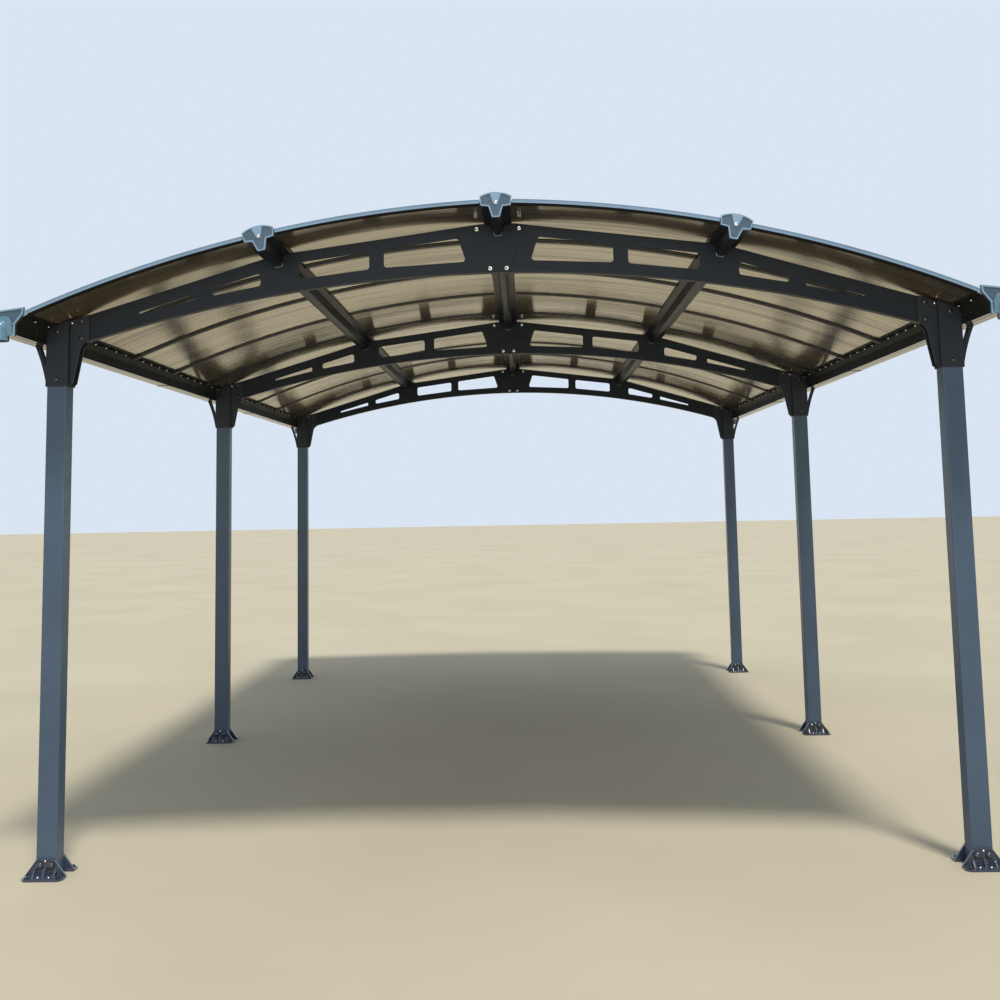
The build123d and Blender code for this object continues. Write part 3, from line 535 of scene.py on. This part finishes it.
def shoe_bolts(row, face):
    """Domes, screws and nuts of the two shoes on one face of a row."""
    axis = (0, face, 0)
    front = row + face * SHOE_FACE
    for side in (-1, 1):
        pad = (POST_X + side * PAD_HALF_SPACING, PAD_HEIGHT)
        face_bolts(domes, dome_bolt, (pad,), front, axis, SHOE_DOME)
        screw_y = row + face * (POST_FACE + FLANGE_SCREW_FORWARD)
        for place in both((POST_X + side * FLANGE_SCREW_SPREAD, screw_y, FLANGE_TOP)):
            dome_bolt(bright, place, UP, FLANGE_SCREW)
        nut_y = row + face * (POST_FACE + ANCHOR_FORWARD)
        for place in both((POST_X + side * ANCHOR_HALF_SPACING, nut_y, FLANGE_TOP)):
            hex_nut(dark, place, UP, ANCHOR_NUT)
    top_place = (POST_X, SHOE_TOP_HEIGHT)
    face_bolts(bright, dome_bolt, (top_place,), row + face * SHOE_TOP_FACE, axis, SHOE_TOP_SCREW)


for row in ARCH_ROWS:
    for face in (-1, 1):
        axis = (0, face, 0)
        joint_y = row + face * JOINT_FACE
        cheek_y = row + face * CHEEK_FACE
        face_bolts(bright, socket_bolt, JOINT_PLACES, joint_y, axis, JOINT_BOLT)
        # Dark discs in the sockets of the joint bolts: painted shade
        face_bolts(dark, socket_painted_shade, JOINT_PLACES, joint_y, axis, JOINT_BOLT)
        face_bolts(dark, dome_bolt, SLEEVE_PLACES, row + face * SLEEVE_FACE, axis, SLEEVE_BOLT)
        face_bolts(dark, dome_bolt, CHEEK_PLACES, cheek_y, axis, CHEEK_BOLT)
        face_bolts(bright, dome_bolt, (CORNER_PLACE,), cheek_y, axis, CORNER_SCREW)
        shoe_bolts(row, face)

quarter_cap_place = roof_point(QUARTER_X, -CAP_SCREW_DROP)
for end in (-1, 1):
    axis = (0, end, 0)
    dome_bolt(bright, (0, end * CAP_FACE, RIDGE_HEIGHT - CAP_SCREW_DROP), axis, CAP_SCREW)
    face_bolts(bright, dome_bolt, (quarter_cap_place,), end * CAP_FACE, axis, CAP_SCREW)
    face_bolts(dark, dome_bolt, (GUTTER_CAP_SCREW_PLACE,), end * GUTTER_CAP_FACE, axis, GUTTER_CAP_SCREW)


# Eave: screws through the ledge, beads between them, clamps at the strips

SCREWS_PER_PANEL = 5
LEDGE_SCREW_X = 1.6955
LEDGE_LIFT = -0.0023
BEAD_X = 1.6875
BEAD_HALF_WIDTH = 0.0068
BEAD_HEIGHT = 0.0035
BEAD_GAP = 0.012
BEAD_STEPS = 6
CLAMP_X = (1.6645, 1.698)
CLAMP_HALF_WIDTH = 0.021
CLAMP_TAPER = 0.9
CLAMP_HEIGHT = 0.0065

beads = bmesh.new()
clamps = bmesh.new()


def ledge_bead(y_from, y_to, side):
    """Half-round bead under the ledge along the eave."""
    sections = []
    for y in (y_from, y_to):
        section = []
        for step in range(BEAD_STEPS + 1):
            angle = math.pi * step / BEAD_STEPS
            across = BEAD_HALF_WIDTH * math.cos(angle)
            x, z = roof_point(BEAD_X + across, LEDGE_LIFT - BEAD_HEIGHT * math.sin(angle))
            section.append((side * x, y, z))
        sections.append(section)
    swept_bar(beads, sections, smooth=True)


def strip_clamp(y, side):
    """Low block under the eave end of a joint strip."""
    low_half_width = CLAMP_HALF_WIDTH * CLAMP_TAPER
    sections = []
    for x in CLAMP_X:
        low_x, low_z = roof_point(x, LEDGE_LIFT - CLAMP_HEIGHT)
        high_x, high_z = roof_point(x, LEDGE_LIFT)
        sections.append((
            (side * low_x, y - low_half_width, low_z), (side * low_x, y + low_half_width, low_z),
            (side * high_x, y + CLAMP_HALF_WIDTH, high_z), (side * high_x, y - CLAMP_HALF_WIDTH, high_z),
        ))
    swept_bar(clamps, sections)


screw_x, screw_z = roof_point(LEDGE_SCREW_X, LEDGE_LIFT)
screw_tilt = roof_angle(LEDGE_SCREW_X)
screw_pitch = PANEL_PITCH / SCREWS_PER_PANEL
clamp_gap = CLAMP_HALF_WIDTH + BEAD_GAP / 2
for side in (-1, 1):
    down = (-side * math.sin(screw_tilt), 0, -math.cos(screw_tilt))
    for number in range(PANEL_COUNT * SCREWS_PER_PANEL):
        y = -ROOF_HALF_LENGTH + number * screw_pitch
        before = BEAD_GAP
        if number % SCREWS_PER_PANEL == 0:
            before = clamp_gap
            if number > 0:
                strip_clamp(y, side)
        else:
            dome_bolt(bright, (side * screw_x, y, screw_z), down, LEDGE_SCREW)
        after = clamp_gap if (number + 1) % SCREWS_PER_PANEL == 0 else BEAD_GAP
        ledge_bead(y + before, y + screw_pitch - after, side)


# Bolts of the gutter wall beside each post and over each joint

WALL_BOLT_HEIGHT = 1.968
WALL_BOLT_SPREADS = (0.062, 0.11)
GUTTER_JOINT_SPREAD = 0.030


def wall_bolts(side, middle, spread_y, size):
    """Two bolts of one gutter wall, the same way before and behind a place."""
    for y in (middle - spread_y, middle + spread_y):
        dome_bolt(dark, (side * GUTTER_WALL_X, y, WALL_BOLT_HEIGHT), (-side, 0, 0), size)


for side in (-1, 1):
    for row in ARCH_ROWS:
        for spread_y in WALL_BOLT_SPREADS:
            wall_bolts(side, row, spread_y, WALL_BOLT)
    for joint in (-GUTTER_JOINT_Y, GUTTER_JOINT_Y):
        wall_bolts(side, joint, GUTTER_JOINT_SPREAD, GUTTER_JOINT_BOLT)


# Cut rim of the arch around the toe of each purlin; its light grey colour is a painted highlight

RIM_PROUD = 0.0012
RIM_THICK = 0.0011

# Left half of the rim: across from the middle of the purlin and up from the roof
RIM_CORNERS = ((-0.0150, -0.0400), (-0.0125, -0.0535), (-0.0095, -0.0558))
RIM_SECTION = ((0.0, 0.0), (RIM_THICK, 0.0), (RIM_THICK, RIM_PROUD), (0.0, RIM_PROUD))

rims = bmesh.new()


def toe_rim(side, row, face):
    """Thin U-shaped rim around a purlin, tilted with the roof; side 0 is the ridge."""
    x = QUARTER_X * abs(side)
    base_x, base_z = roof_point(x)
    tilt = side * roof_angle(x)
    front = ARCH_FACE if side else JOINT_FACE
    outline = [*RIM_CORNERS, *((-u, w) for u, w in reversed(RIM_CORNERS))]
    sections = []
    for u, w in outline:
        section = []
        for grow, out in RIM_SECTION:
            across = u + math.copysign(grow, u)
            rise = w - grow
            section.append((
                side * base_x + across * math.cos(tilt) + rise * math.sin(tilt),
                row + face * (front + out),
                base_z - across * math.sin(tilt) + rise * math.cos(tilt),
            ))
        sections.append(section)
    swept_bar(rims, sections)


for row in ARCH_ROWS:
    for side in (-1, 0, 1):
        toe_rim(side, row, -1)
        toe_rim(side, row, 1)

finished("toe_rims", rims, rim_painted_highlight)
finished("bolts_bright", bright, zinc)
# Dark bolts, together with the painted shade discs of the sockets
finished("bolts_dark_and_socket_shade", dark, bolt_paint_and_socket_shade)
finished("shoe_domes", domes, dome_paint)
finished("ledge_beads", beads, seal_and_band_black)
finished("strip_clamps", clamps, strip_paint)


# Fine ribs on the edge trim, and dark bands below it

TRIM_STEPS = 24
TRIM_GAP = 0.058
TRIM_END = 1.671
BAR_BACK = 0.0004
DARK_BAND_BACK = 0.0243

# Lower edge and upper edge over the roof, and how far the bar stands out of the trim
UPPER_RIB = (0.0098, 0.0114, 0.0012)
LOWER_RIB = (0.0046, 0.0054, 0.0006)
# Two dark bands below the trim, the deep one reaching back under it
WIDE_DARK_BAND = (-0.0082, -0.0022, 0.0008)
DEEP_DARK_BAND = (-0.0062, -0.0051, 0.0008)

ribs = bmesh.new()
dark_bands = bmesh.new()


def trim_bar(shape, span, bar, end, side, back=BAR_BACK):
    """Thin bar on the face of the trim, following the roof."""
    x_from, x_to = span
    low, high, out = bar
    inner = end * (TRIM_FACE - back)
    outer = end * (TRIM_FACE + out)
    sections = []
    for step in range(TRIM_STEPS + 1):
        x = x_from + (x_to - x_from) * step / TRIM_STEPS
        low_x, low_z = roof_point(x, low)
        high_x, high_z = roof_point(x, high)
        sections.append((
            (side * low_x, inner, low_z), (side * low_x, outer, low_z),
            (side * high_x, outer, high_z), (side * high_x, inner, high_z),
        ))
    swept_bar(shape, sections)


trim_reach = TRIM_GAP * math.cos(roof_angle(QUARTER_X))
trim_spans = ((TRIM_GAP, QUARTER_X - trim_reach), (QUARTER_X + trim_reach, TRIM_END))
for end in (-1, 1):
    for side in (-1, 1):
        for span in trim_spans:
            trim_bar(ribs, span, UPPER_RIB, end, side)
            trim_bar(ribs, span, LOWER_RIB, end, side)
            trim_bar(dark_bands, span, WIDE_DARK_BAND, end, side)
            trim_bar(dark_bands, span, DEEP_DARK_BAND, end, side, DARK_BAND_BACK)

finished("trim_ribs", ribs, trim_paint_and_painted_reflection)
finished("trim_dark_bands", dark_bands, seal_and_band_black)


# Floor, light and camera

FLOOR_HALF = 60.0
FLOOR_DARK = (0.40, 0.36, 0.26)
FLOOR_LIGHT = (0.44, 0.395, 0.29)
SKY_LOW = (0.36, 0.39, 0.42)
SKY_HIGH = (0.70, 0.78, 0.90)
SKY_DIRECTION = (0.0, 0.75, 0.66)
SKY_START = -0.35
SKY_END = 0.45
SUN_DIRECTION = (-0.15, 0.41, -1.0)
SUN_STRENGTH = 3.1
SUN_SIZE = math.radians(9.0)
SUN_COLOUR = (1.0, 0.96, 0.89)
FRONT_LIGHT_POWER = 150.0
FRONT_LIGHT_PLACE = (-0.4, -9.0, 2.2)
FRONT_LIGHT_DIRECTION = (0.0, 1.0, 0.2)
FRONT_LIGHT_SIZE = (5.0, 2.4)
FRONT_LIGHT_COLOUR = (0.86, 0.93, 1.0)
CAMERA_PLACE = (0.0895, -6.232, 1.3068)
CAMERA_YAW = -0.0238
CAMERA_PITCH = 0.0994
CAMERA_ROLL = -0.0189
CAMERA_LENS = 38.753
CAMERA_SENSOR = 36.0
CAMERA_SHIFT = (0.0006, -0.1034)


def stage_floor():
    """Wide pale ground with soft clouding."""
    mesh = bpy.data.meshes.new("floor")
    half = FLOOR_HALF
    corners = [(-half, -half, 0), (half, -half, 0), (half, half, 0), (-half, half, 0)]
    mesh.from_pydata(corners, [], [(0, 1, 2, 3)])
    material, tree, shader = principled("floor_pale")
    cloudy = noise(tree, object_place(tree), scale=0.7, detail=3.0)
    tree.links.new(ramp(tree, cloudy, (0.3, FLOOR_DARK), (0.7, FLOOR_LIGHT)), shader.inputs["Base Color"])
    shader.inputs["Roughness"].default_value = 0.9
    shader.inputs["Specular IOR Level"].default_value = 0.2
    mesh.materials.append(material)
    floor = bpy.data.objects.new("floor", mesh)
    bpy.context.scene.collection.objects.link(floor)


def sky():
    """Pale sky overhead and behind, darker low down in front."""
    world = bpy.data.worlds.new("sky")
    world.use_nodes = True
    tree = world.node_tree
    direction = tree.nodes.new("ShaderNodeTexCoord")
    height = tree.nodes.new("ShaderNodeVectorMath")
    height.operation = "DOT_PRODUCT"
    height.inputs[1].default_value = SKY_DIRECTION
    tree.links.new(direction.outputs["Generated"], height.inputs[0])
    factor = spread(tree, height.outputs["Value"], low=0.0, high=1.0, start=SKY_START, end=SKY_END)
    colour = ramp(tree, factor, (0.0, SKY_LOW), (1.0, SKY_HIGH))
    tree.links.new(colour, tree.nodes["Background"].inputs["Color"])
    bpy.context.scene.world = world


def lamp_object(name, light, direction):
    """Lamp in the scene that shines along a direction."""
    lamp = bpy.data.objects.new(name, light)
    lamp.rotation_euler = Vector(direction).to_track_quat("-Z", "Y").to_euler()
    bpy.context.scene.collection.objects.link(lamp)
    return lamp


def sun():
    """High sun with a soft edge to its shadows."""
    light = bpy.data.lights.new("sun", "SUN")
    light.energy = SUN_STRENGTH
    light.angle = SUN_SIZE
    light.color = SUN_COLOUR
    lamp_object("sun", light, SUN_DIRECTION)


def front_light():
    """Wide soft lamp behind the camera that lifts the front posts and trim."""
    light = bpy.data.lights.new("front_light", "AREA")
    light.shape = "RECTANGLE"
    light.size, light.size_y = FRONT_LIGHT_SIZE
    light.energy = FRONT_LIGHT_POWER
    light.color = FRONT_LIGHT_COLOUR
    lamp = lamp_object("front_light", light, FRONT_LIGHT_DIRECTION)
    lamp.location = FRONT_LIGHT_PLACE
    lamp.visible_camera = False


def camera():
    """Camera at the place of the photograph, with its lens and small shift."""
    cos_pitch = math.cos(CAMERA_PITCH)
    forward = Vector((
        math.sin(CAMERA_YAW) * cos_pitch, math.cos(CAMERA_YAW) * cos_pitch, math.sin(CAMERA_PITCH),
    ))
    level_right = Vector((math.cos(CAMERA_YAW), -math.sin(CAMERA_YAW), 0.0))
    level_up = level_right.cross(forward)
    right = math.cos(CAMERA_ROLL) * level_right + math.sin(CAMERA_ROLL) * level_up
    up = math.cos(CAMERA_ROLL) * level_up - math.sin(CAMERA_ROLL) * level_right
    data = bpy.data.cameras.new("camera")
    data.lens = CAMERA_LENS
    data.sensor_width = CAMERA_SENSOR
    data.shift_x, data.shift_y = CAMERA_SHIFT
    view = bpy.data.objects.new("camera", data)
    turn = Matrix((right, up, -forward)).transposed().to_4x4()
    view.matrix_world = Matrix.Translation(CAMERA_PLACE) @ turn
    bpy.context.scene.collection.objects.link(view)
    bpy.context.scene.camera = view


stage_floor()
sky()
sun()
front_light()
camera()

bpy.context.scene.view_settings.view_transform = "Standard"
